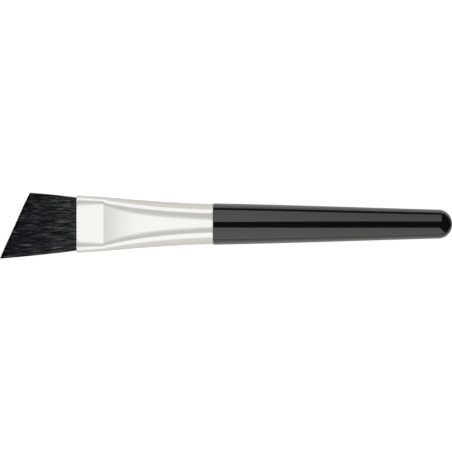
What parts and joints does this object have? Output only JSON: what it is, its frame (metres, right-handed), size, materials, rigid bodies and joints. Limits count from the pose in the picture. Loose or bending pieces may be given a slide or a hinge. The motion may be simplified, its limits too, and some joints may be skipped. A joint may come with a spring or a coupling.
{
  "type": "angled flat brush",
  "caption": "Angled flat brush: flat bundle of black hair cut on a slant, nickel-plated ferrule pressed flat at the mouth, round tapered handle in black lacquer.",
  "frame": {"origin": "middle of the underside of the whole brush lying on its flat, level with the lowest line of the handle's shoulder", "axes": "+X along the brush axis from the hair to the handle's end, +Z out of the upper flat of the ferrule, +Y across the flat towards the short side of the hair"},
  "size_m": [0.15, 0.022, 0.0138],
  "materials": {
    "lacquered_wood": "gloss",
    "plated_brass": "satin",
    "hair": "matte",
    "thread": "matte",
    "resin": "gloss",
    "adhesive": "gloss"
  },
  "bodies": {
    "root": {"handle": "lacquered_wood", "ferrule": "plated_brass", "hair_bundle": "hair", "root_thread": "thread", "resin_set": "resin", "tenon_glue": "adhesive"}
  },
  "joints": []
}
